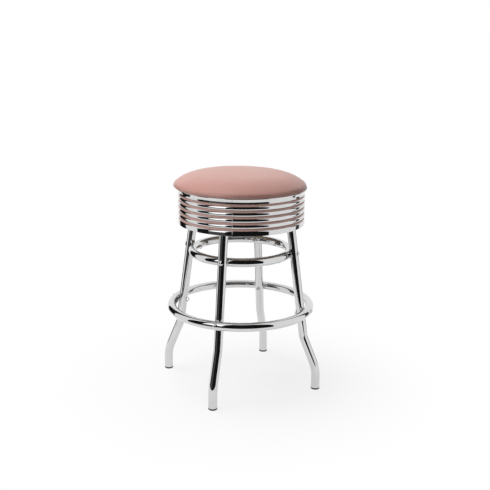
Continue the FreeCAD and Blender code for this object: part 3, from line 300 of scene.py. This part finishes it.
def make_vinyl():
    """Smooth upholstery vinyl: a fine pebbled grain with painted shade in the creases between pebbles, soft colour
    drift and a low sheen.
    """
    material, shader, place = new_finish("pink_vinyl")
    drift = noise(material, place, 7, detail=3)
    pebbles = add_node(material, "ShaderNodeTexVoronoi", Vector=place, feature="SMOOTH_F1", Scale=620,
                       Smoothness=0.6, Randomness=0.9).outputs["Distance"]
    pores = noise(material, place, 1500, detail=2)
    tone = two_tone(material, drift, (0.53, 0.285, 0.245), (0.58, 0.315, 0.272))
    # Painted shade: the colour is darkened in the creases between the grain's pebbles.
    crease_shade = add_node(material, "ShaderNodeMix", data_type="RGBA", blend_type="MULTIPLY",
                      Factor=spread(material, pebbles, 0.0, 0.3, (0.35, 0.8)))
    material.node_tree.links.new(tone, crease_shade.inputs[6])
    crease_shade.inputs[7].default_value = (0.75, 0.66, 0.62, 1)
    grain = bump(material, pebbles, 0.22, 0.12 * MM)
    join(material, shader, Base_Color=crease_shade.outputs[2], Roughness=spread(material, pebbles, 0.33, 0.42, (0.2, 0.8)),
         Normal=bump(material, pores, 0.12, 0.05 * MM, grain))
    shader.inputs["Specular IOR Level"].default_value = 0.45
    return material


def make_inlay():
    """Extruded coloured strip with a soft gloss and faint drawing lines along its length."""
    material, shader, place = new_finish("pink_inlay")
    lines = noise(material, place, 40, detail=3, stretch=(1, 1, 40))
    drift = noise(material, place, 11, detail=3)
    join(material, shader, Base_Color=two_tone(material, drift, (0.70, 0.43, 0.38), (0.74, 0.455, 0.405)),
         Roughness=spread(material, lines, 0.26, 0.4), Normal=bump(material, lines, 0.08, 0.05 * MM))
    return material


FINISHES = {"chrome": make_chrome(), "zinc": make_zinc(), "ball_steel": make_ball_steel(),
            "glide_plastic": make_glide_plastic(), "plywood": make_plywood(), "foam": make_foam(),
            "pink_vinyl": make_vinyl(), "pink_inlay": make_inlay()}

for entry in frame["record"]["subparts"]:
    node = frame["nodes"][entry["node"]]
    node.data.materials.clear()
    node.data.materials.append(FINISHES[entry["material_slot"]])


# Legs: a circle drawn up from the glide and spun round each bend

TUBE_SIDES = 48
BEND_STEPS = 20


def bend_details(corners, radii):
    """For each bend of a path in the XZ plane: its start, end, centre and swing in degrees."""
    points = [Vector(corner) * MM for corner in corners]
    details = []
    for before, corner, after, radius in zip(points, points[1:], points[2:], radii):
        back, ahead = (before - corner).normalized(), (after - corner).normalized()
        half = back.angle(ahead) / 2
        trim = radius * MM / math.tan(half)
        centre = corner + (back + ahead).normalized() * (radius * MM / math.sin(half))
        side = math.copysign(1, back.cross(ahead))
        details.append((corner + back * trim, corner + ahead * trim, centre, -side * (180 - 2 * math.degrees(half))))
    return details


def make_leg(name, azimuth):
    foot = Vector(LEG_PATH[0]) * MM
    bpy.ops.object.select_all(action="DESELECT")
    bpy.ops.mesh.primitive_circle_add(vertices=TUBE_SIDES, radius=TUBE_RADIUS, location=(foot.x, 0, foot.y))
    piece = bpy.context.object
    piece.name = name.replace("leg", "tube_leg")
    bpy.ops.object.transform_apply(location=True)
    bpy.ops.object.mode_set(mode="EDIT")
    bpy.ops.mesh.select_all(action="SELECT")
    here = foot
    for start, end, centre, degrees in bend_details(LEG_PATH, LEG_BENDS):
        pull(*(start - here))
        swing(centre.x, centre.y, degrees, BEND_STEPS)
        here = end
    pull(*(Vector(LEG_PATH[-1]) * MM - here))
    tidy_mesh()
    use_modifier(piece, "SOLIDIFY", thickness=TUBE_WALL, offset=-1)
    smooth(piece)
    place_piece(piece, azimuth)
    return dress(piece, "chrome", "frame", name)


for leg_name, leg_azimuth in LEG_AZIMUTHS.items():
    make_leg(leg_name, leg_azimuth)


# Rings: a torus pressed in where each leg nests against it

RING_STEPS = 256


def splayed_run():
    """The straight run's line in the XZ plane: a point on it and its direction."""
    low, high = Vector(LEG_PATH[2]) * MM, Vector(LEG_PATH[3]) * MM
    return low, (high - low).normalized()


def leg_reach(height):
    low, along = splayed_run()
    return low.x + along.x * (height - low.y) / along.y


def make_ring(name, radius, height):
    bpy.ops.object.select_all(action="DESELECT")
    bpy.ops.mesh.primitive_torus_add(major_segments=RING_STEPS, minor_segments=TUBE_SIDES, major_radius=radius,
                                     minor_radius=TUBE_RADIUS, location=(0, 0, height))
    ring = bpy.context.object
    ring.name = name.replace("ring", "tube_ring")
    bpy.ops.object.transform_apply(location=True)
    low, along = splayed_run()
    press = TUBE_RADIUS + SADDLE_GAP
    for azimuth in LEG_AZIMUTHS.values():
        turn = Matrix.Rotation(math.radians(azimuth), 3, "Z")
        base = turn @ Vector((low.x, 0, low.y))
        axis = turn @ Vector((along.x, 0, along.y))
        for vertex in ring.data.vertices:
            offset = vertex.co - base
            aside = offset - axis * offset.dot(axis)
            if aside.length < press:
                vertex.co += aside.normalized() * (press - aside.length)
    smooth(ring, 50)
    return dress(ring, "chrome", "frame", name)


make_ring("upper_ring", leg_reach(UPPER_RING_HEIGHT) - AXIS_SPACING, UPPER_RING_HEIGHT)
make_ring("footrest_ring", leg_reach(FOOTREST_HEIGHT) + AXIS_SPACING, FOOTREST_HEIGHT)


# Ribbed band: its outline is drawn from the flange's edge up to the lip, then spun round

RIB_WIDTH = RIB_PITCH - GROOVE_WIDTH
RIB_RADIUS = ((RIB_WIDTH / 2) ** 2 + RIB_HEIGHT ** 2) / (2 * RIB_HEIGHT)
RIB_CENTRE = GROOVE_FLOOR + RIB_HEIGHT - RIB_RADIUS
RIB_SWING = math.degrees(math.asin(RIB_WIDTH / 2 / RIB_RADIUS))
TOP_RIB = TOP_GROOVE + RIB_PITCH / 2
FLANGE_RIB = TOP_RIB - RIB_COUNT * RIB_PITCH
RIB_STEPS = 12
FLARE_STEPS = 8
LIP_STEPS = 10
ROUND_STEPS = 288
EDGE_BREAK = 0.12 * MM
EDGE_ANGLE = 25
BAND_SMOOTHING = 14


def make_band():
    crest = GROOVE_FLOOR + RIB_HEIGHT
    band = start_outline("ribbed_seat_band", crest, BAND_BOTTOM)
    pull(0, FLANGE_RIB - BAND_BOTTOM)
    swing(RIB_CENTRE, FLANGE_RIB, RIB_SWING, RIB_STEPS // 2)
    for place in range(RIB_COUNT - 1, -1, -1):
        pull(0, GROOVE_WIDTH)
        if place:
            swing(RIB_CENTRE, TOP_RIB - place * RIB_PITCH, 2 * RIB_SWING, RIB_STEPS)
    pull(0, TOP_STEP)
    flare_bottom = TOP_GROOVE + GROOVE_WIDTH / 2 + TOP_STEP + TOP_WALL
    pull(RIB_HEIGHT, 0)
    pull(0, TOP_WALL)
    swing(crest + FLARE_BEND, flare_bottom, -FLARE_ANGLE, FLARE_STEPS)
    slope = math.radians(FLARE_ANGLE)
    out, up = FLARE_BEND * (1 - math.cos(slope)), FLARE_BEND * math.sin(slope)
    rise = LIP_TOP - LIP_EDGE * (1 + math.sin(slope)) - flare_bottom - up
    pull(rise * math.tan(slope), rise)
    nose = crest + out + rise * math.tan(slope) - LIP_EDGE * math.cos(slope)
    swing(nose, LIP_TOP - LIP_EDGE, 90 + FLARE_ANGLE, LIP_STEPS)
    pull(BAND_BORE - nose, 0)
    turn_round(ROUND_STEPS, 360 - SEAM_ANGLE)
    tidy_mesh()
    use_modifier(band, "SOLIDIFY", thickness=BAND_SHEET, offset=-1)
    use_modifier(band, "BEVEL", width=EDGE_BREAK, segments=2, limit_method="ANGLE",
                 angle_limit=math.radians(EDGE_ANGLE))
    smooth(band, BAND_SMOOTHING)
    place_piece(band, SEAM_AZIMUTH)
    return dress(band, "chrome", "seat", "ribbed_band")


ribbed_band = make_band()


INLAY_STEPS = 8


def make_inlay_strips():
    """One strip with a slightly crowned face, copied down the band."""
    back, face = GROOVE_FLOOR + INLAY_GAP, GROOVE_FLOOR + INLAY_GAP + INLAY_THICKNESS
    half = GROOVE_WIDTH / 2 - INLAY_GAP
    crown = INLAY_CROWN
    bend = (half ** 2 + crown ** 2) / (2 * crown)
    sweep = math.degrees(math.asin(half / bend))
    first = start_outline("pink_strip_1", back, TOP_GROOVE - half)
    pull(face - back - crown, 0)
    swing(face - bend, TOP_GROOVE, 2 * sweep, INLAY_STEPS)
    pull(back - face + crown, 0)
    pull(0, -2 * half)
    turn_round(ROUND_STEPS, 360 - SEAM_ANGLE)
    tidy_mesh()
    only(first)
    bpy.ops.object.mode_set(mode="EDIT")
    bpy.ops.mesh.select_all(action="DESELECT")
    bpy.ops.mesh.select_non_manifold()
    bpy.ops.mesh.edge_face_add()
    bpy.ops.object.mode_set(mode="OBJECT")
    smooth(first)
    place_piece(first, SEAM_AZIMUTH)
    for place in range(RIB_COUNT):
        strip = first
        if place:
            only(first)
            bpy.ops.object.duplicate(linked=False)
            strip = bpy.context.object
            strip.name = f"pink_strip_{place + 1}"
            strip.location.z = -place * RIB_PITCH
            place_piece(strip)
        dress(strip, "pink_inlay", "seat", f"inlay_strip_{place + 1}")


make_inlay_strips()


# Cushion: foam under vinyl, swollen by air pressure from a slightly smaller form

REMESH_VOXEL = 5.0 * MM
START_INSET = 0.8 * MM
SWELL_PRESSURE = 4.0
SWELL_CAP = 0.8 * MM
SWELL_FRAMES = 20
SWELL_QUALITY = 6
COVER_STIFFNESS = 60
COVER_BENDING = 20
HELD_BELOW = TUCK_LEVEL + 2.5 * MM
CUSHION_STEPS = 192
ARC_STEPS = (24, 12, 12)
TUCK_STEPS = 4
SKIRT_INSIDE = 178.2 * MM
CUSHION_SHIFT = 5.0 * MM
CUSHION_TILT = 1.2 * MM
SHIFT_START = 0.5 * MM
SHIFT_BLEND = 4.0 * MM
SKIRT_THICKNESS = 1.0 * MM
SKIRT_BOTTOM = 562.9 * MM
SKIRT_TURN_IN = 19.2 * MM


def cushion_arcs(inset):
    """Centres and swings of the crown, shoulder and rim, from the axis outwards."""
    crown, shoulder, rim = CROWN_BEND - inset, SHOULDER_BEND - inset, RIM_BEND - inset
    rim_level = TUCK_LEVEL + TUCK_BEND
    crown_centre = Vector((0, CROWN - inset - crown))
    rim_centre = Vector((COVER_RADIUS - RIM_BEND, rim_level))
    far, near = crown - shoulder, shoulder - rim
    line = rim_centre - crown_centre
    along = (far ** 2 - near ** 2 + line.length_squared) / (2 * line.length)
    aside = math.sqrt(far ** 2 - along ** 2)
    ahead = line.normalized()
    shoulder_centre = crown_centre + ahead * along + Vector((-ahead.y, ahead.x)) * aside

    def heading(start, end):
        return math.degrees(math.atan2(end.y - start.y, end.x - start.x))

    to_crown, to_rim = heading(crown_centre, shoulder_centre), heading(shoulder_centre, rim_centre)
    return [(crown_centre, to_crown - 90), (shoulder_centre, to_rim - to_crown), (rim_centre, -to_rim)]


def swell(piece, held):
    """Let cloth swell the form; held chooses the points that rest on the band and the board."""
    only(piece)
    group = piece.vertex_groups.new(name="held")
    group.add([vertex.index for vertex in piece.data.vertices if held(vertex.co)], 1.0, "REPLACE")
    modifier = piece.modifiers.new("Cloth", "CLOTH")
    settings = modifier.settings
    settings.quality = SWELL_QUALITY
    settings.vertex_group_mass = "held"
    settings.use_pressure = True
    settings.uniform_pressure_force = SWELL_PRESSURE
    settings.tension_stiffness = settings.compression_stiffness = COVER_STIFFNESS
    settings.bending_stiffness = COVER_BENDING
    settings.effector_weights.gravity = 0
    for step in range(1, SWELL_FRAMES + 1):
        bpy.context.scene.frame_set(step)
    rest = [vertex.co.copy() for vertex in piece.data.vertices]
    swollen = piece.evaluated_get(bpy.context.evaluated_depsgraph_get()).to_mesh()
    places = [vertex.co.copy() for vertex in swollen.vertices]
    piece.modifiers.remove(modifier)
    bpy.context.scene.frame_set(1)
    for vertex, start, end in zip(piece.data.vertices, rest, places):
        move = end - start
        if move.length > SWELL_CAP:
            move *= SWELL_CAP / move.length
        vertex.co = start + move
    piece.vertex_groups.clear()


def fit_to_size(cushion):
    """Bring the swollen form back to the cover's radius and the crown's height."""
    bulk = [max(abs(getattr(vertex.co, axis)) for vertex in cushion.data.vertices) for axis in "xyz"]
    wide = COVER_RADIUS / max(bulk[:2])
    for vertex in cushion.data.vertices:
        lift = max(0.0, vertex.co.z - TUCK_LEVEL) / (bulk[2] - TUCK_LEVEL)
        vertex.co.z += lift * (CROWN - bulk[2])
        if vertex.co.z > TUCK_LEVEL:
            vertex.co.x *= wide
            vertex.co.y *= wide


def push_aside(cushion):
    """The padding above the tuck sits a little to the camera's left, and a little higher there."""
    aside = Vector((-math.cos(math.radians(CAMERA_AZIMUTH)), -math.sin(math.radians(CAMERA_AZIMUTH)), 0))
    for vertex in cushion.data.vertices:
        above = min(1.0, max(0.0, (vertex.co.z - TUCK_LEVEL + SHIFT_START) / SHIFT_BLEND))
        side = 0.5 + 0.5 * vertex.co.dot(aside) / COVER_RADIUS
        vertex.co += above * (CUSHION_SHIFT * aside + Vector((0, 0, CUSHION_TILT * side)))


def make_cushion():
    inset = START_INSET
    cushion = start_outline("seat_cushion", 0, CROWN - inset)
    for (centre, degrees), steps in zip(cushion_arcs(inset), ARC_STEPS):
        swing(centre.x, centre.y, degrees, steps)
    swing(COVER_RADIUS - inset - TUCK_BEND, TUCK_LEVEL + TUCK_BEND, -90, TUCK_STEPS)
    pull(SKIRT_INSIDE - (COVER_RADIUS - inset - TUCK_BEND), 0)
    pull(0, BOARD_TOP + SADDLE_GAP - TUCK_LEVEL)
    pull(-SKIRT_INSIDE, 0)
    turn_round(CUSHION_STEPS)
    tidy_mesh()
    only(cushion)
    cushion.data.remesh_voxel_size = REMESH_VOXEL
    bpy.ops.object.voxel_remesh()
    swell(cushion, lambda place: place.z < HELD_BELOW)
    fit_to_size(cushion)
    use_modifier(cushion, "SUBSURF", levels=1, render_levels=1)
    push_aside(cushion)
    smooth(cushion, 60)
    dress(cushion, "pink_vinyl", "seat", "vinyl_cover", "foam_pad")


make_cushion()


def make_cover_skirt():
    """The cover's edge: down between the board and the band, and turned in under the board."""
    top = TUCK_LEVEL - SKIRT_THICKNESS
    skirt = start_outline("cover_skirt", SKIRT_INSIDE + SKIRT_THICKNESS, top)
    pull(0, SKIRT_BOTTOM + SKIRT_THICKNESS - top)
    pull(0, -SKIRT_THICKNESS)
    pull(-SKIRT_TURN_IN, 0)
    turn_round(CUSHION_STEPS)
    tidy_mesh()
    use_modifier(skirt, "SOLIDIFY", thickness=SKIRT_THICKNESS, offset=-1)
    smooth(skirt)
    dress(skirt, "pink_vinyl", "seat", "vinyl_cover")


make_cover_skirt()


# Studio: a pale floor that fades to white, soft lamps, and dark flags that the chrome mirrors

FLOOR_SIDE = 60
FADE_START = 0.15
FADE_END = 0.65
WHITE_NEAR_STOOL = 0.83
FLOOR_TONE = 0.9
FILL_STRENGTH = 0.2
FLAG_STEPS = 24


def make_floor():
    bpy.ops.object.select_all(action="DESELECT")
    bpy.ops.mesh.primitive_plane_add(size=FLOOR_SIDE, location=(0, 0, 0))
    floor = bpy.context.object
    floor.name = "studio_floor"
    material = bpy.data.materials.new("studio_floor")
    material.use_nodes = True
    tree = material.node_tree
    tree.nodes.clear()
    place = tree.nodes.new("ShaderNodeTexCoord").outputs["Object"]
    away = add_node(material, "ShaderNodeVectorMath", operation="LENGTH", i0=place).outputs["Value"]
    fade = add_node(material, "ShaderNodeMapRange", interpolation_type="SMOOTHSTEP", Value=away,
                    From_Min=FADE_START, From_Max=FADE_END, To_Min=WHITE_NEAR_STOOL).outputs[0]
    rays = tree.nodes.new("ShaderNodeLightPath").outputs
    seen = add_node(material, "ShaderNodeMath", operation="MAXIMUM", i0=rays["Is Camera Ray"],
                    i1=rays["Is Glossy Ray"]).outputs[0]
    fade = add_node(material, "ShaderNodeMath", operation="MULTIPLY", i0=fade, i1=seen).outputs[0]
    matt = add_node(material, "ShaderNodeBsdfDiffuse", Color=(FLOOR_TONE, FLOOR_TONE, FLOOR_TONE, 1))
    white = add_node(material, "ShaderNodeEmission", Color=(1, 1, 1, 1), Strength=1.0)
    mixed = add_node(material, "ShaderNodeMixShader", Fac=fade, i1=matt.outputs[0], i2=white.outputs[0])
    out = tree.nodes.new("ShaderNodeOutputMaterial")
    tree.links.new(mixed.outputs[0], out.inputs["Surface"])
    floor.data.materials.append(material)


def make_flag(name, left, right, distance, bottom, top, brightness):
    """A curved card that only mirrors see; left and right are degrees from the camera's side."""
    card = start_outline(name, distance, bottom)
    pull(0, top - bottom)
    turn_round(FLAG_STEPS, right - left)
    bpy.ops.object.mode_set(mode="OBJECT")
    place_piece(card, CAMERA_AZIMUTH - 90 + left)
    material = bpy.data.materials.new(name)
    material.use_nodes = True
    nodes = material.node_tree.nodes
    nodes.clear()
    glow = add_node(material, "ShaderNodeEmission", Color=(1, 1, 1, 1), Strength=brightness)
    out = nodes.new("ShaderNodeOutputMaterial")
    material.node_tree.links.new(glow.outputs[0], out.inputs["Surface"])
    card.data.materials.append(material)
    for ray in ("camera", "diffuse", "transmission", "volume_scatter", "shadow"):
        setattr(card, f"visible_{ray}", False)


def make_lamp(name, azimuth, elevation, distance, width, height, power, aim=(0, 0, 0.35)):
    """A softbox that no mirror shows; azimuth is in degrees to the right of the camera."""
    lamp = bpy.data.lights.new(name, "AREA")
    lamp.shape = "RECTANGLE"
    lamp.size, lamp.size_y = width, height
    lamp.energy = power
    box = bpy.data.objects.new(name, lamp)
    bpy.context.scene.collection.objects.link(box)
    turn = math.radians(CAMERA_AZIMUTH - 90 + azimuth)
    rise = math.radians(elevation)
    aim = Vector(aim)
    box.location = aim + distance * Vector((math.cos(turn) * math.cos(rise), math.sin(turn) * math.cos(rise),
                                            math.sin(rise)))
    box.rotation_euler = (aim - box.location).to_track_quat("-Z", "Y").to_euler()
    box.visible_camera = False
    box.visible_glossy = False
    return box


def make_world():
    """White where the camera or a mirror looks, and a softer grey as the fill light."""
    world = bpy.data.worlds.new("studio")
    bpy.context.scene.world = world
    world.use_nodes = True
    tree = world.node_tree
    tree.nodes.clear()
    rays = tree.nodes.new("ShaderNodeLightPath")
    seen = tree.nodes.new("ShaderNodeMath")
    seen.operation = "MAXIMUM"
    tree.links.new(rays.outputs["Is Camera Ray"], seen.inputs[0])
    mirrored = tree.nodes.new("ShaderNodeMath")
    mirrored.operation = "MAXIMUM"
    tree.links.new(rays.outputs["Is Glossy Ray"], mirrored.inputs[0])
    tree.links.new(rays.outputs["Is Transmission Ray"], mirrored.inputs[1])
    tree.links.new(mirrored.outputs[0], seen.inputs[1])
    fill = tree.nodes.new("ShaderNodeBackground")
    fill.inputs["Strength"].default_value = FILL_STRENGTH
    white = tree.nodes.new("ShaderNodeBackground")
    white.inputs["Color"].default_value = (1, 1, 1, 1)
    white.inputs["Strength"].default_value = 1.0
    mixed = tree.nodes.new("ShaderNodeMixShader")
    out = tree.nodes.new("ShaderNodeOutputWorld")
    tree.links.new(seen.outputs[0], mixed.inputs[0])
    tree.links.new(fill.outputs[0], mixed.inputs[1])
    tree.links.new(white.outputs[0], mixed.inputs[2])
    tree.links.new(mixed.outputs[0], out.inputs["Surface"])


FLAG_DISTANCE = 0.9
CARD_DISTANCE = 2.3

# Name, left and right edge in degrees from the camera's side, distance, bottom, top, brightness
CARDS = [
    ("front_flag", -25.6, 45, FLAG_DISTANCE, 0.0, 3.4, 0.01),
    ("low_flag", -54, -25.6, FLAG_DISTANCE, 0.0, 0.53, 0.08),
    ("left_flag", -77, -54, FLAG_DISTANCE, 0.0, 2.4, 0.01),
    ("far_left_flag", -135, -108, FLAG_DISTANCE, 0.0, 2.4, 0.01),
    ("far_right_flag", 105, 117, FLAG_DISTANCE, 0.0, 2.4, 0.05),
    ("bright_card", -59, -27.5, CARD_DISTANCE, 0.2, 3.0, 1.8),
]

make_floor()
make_world()
for card in CARDS:
    make_flag(*card)
make_lamp("key_softbox", azimuth=-55, elevation=8, distance=2.3, width=1.3, height=2.0, power=8, aim=(0, 0, 0.6))
make_lamp("top_softbox", azimuth=-100, elevation=71, distance=2.5, width=1.6, height=1.6, power=55)


# Camera

def make_camera():
    lens = bpy.data.cameras.new("photographer")
    lens.lens = CAMERA_LENS
    lens.sensor_width = 36
    camera = bpy.data.objects.new("photographer", lens)
    bpy.context.scene.collection.objects.link(camera)
    side = math.radians(CAMERA_AZIMUTH)
    place = Vector((math.sin(side), -math.cos(side), 0)) * CAMERA_DISTANCE + Vector((0, 0, CAMERA_HEIGHT))
    camera.matrix_world = (Matrix.Translation(place)
                           @ Matrix.Rotation(math.radians(CAMERA_AZIMUTH + CAMERA_TURN), 4, "Z")
                           @ Matrix.Rotation(math.radians(90 - CAMERA_PITCH), 4, "X")
                           @ Matrix.Rotation(math.radians(CAMERA_ROLL), 4, "Z"))
    bpy.context.scene.camera = camera


make_camera()
bpy.context.scene.view_settings.view_transform = "Standard"
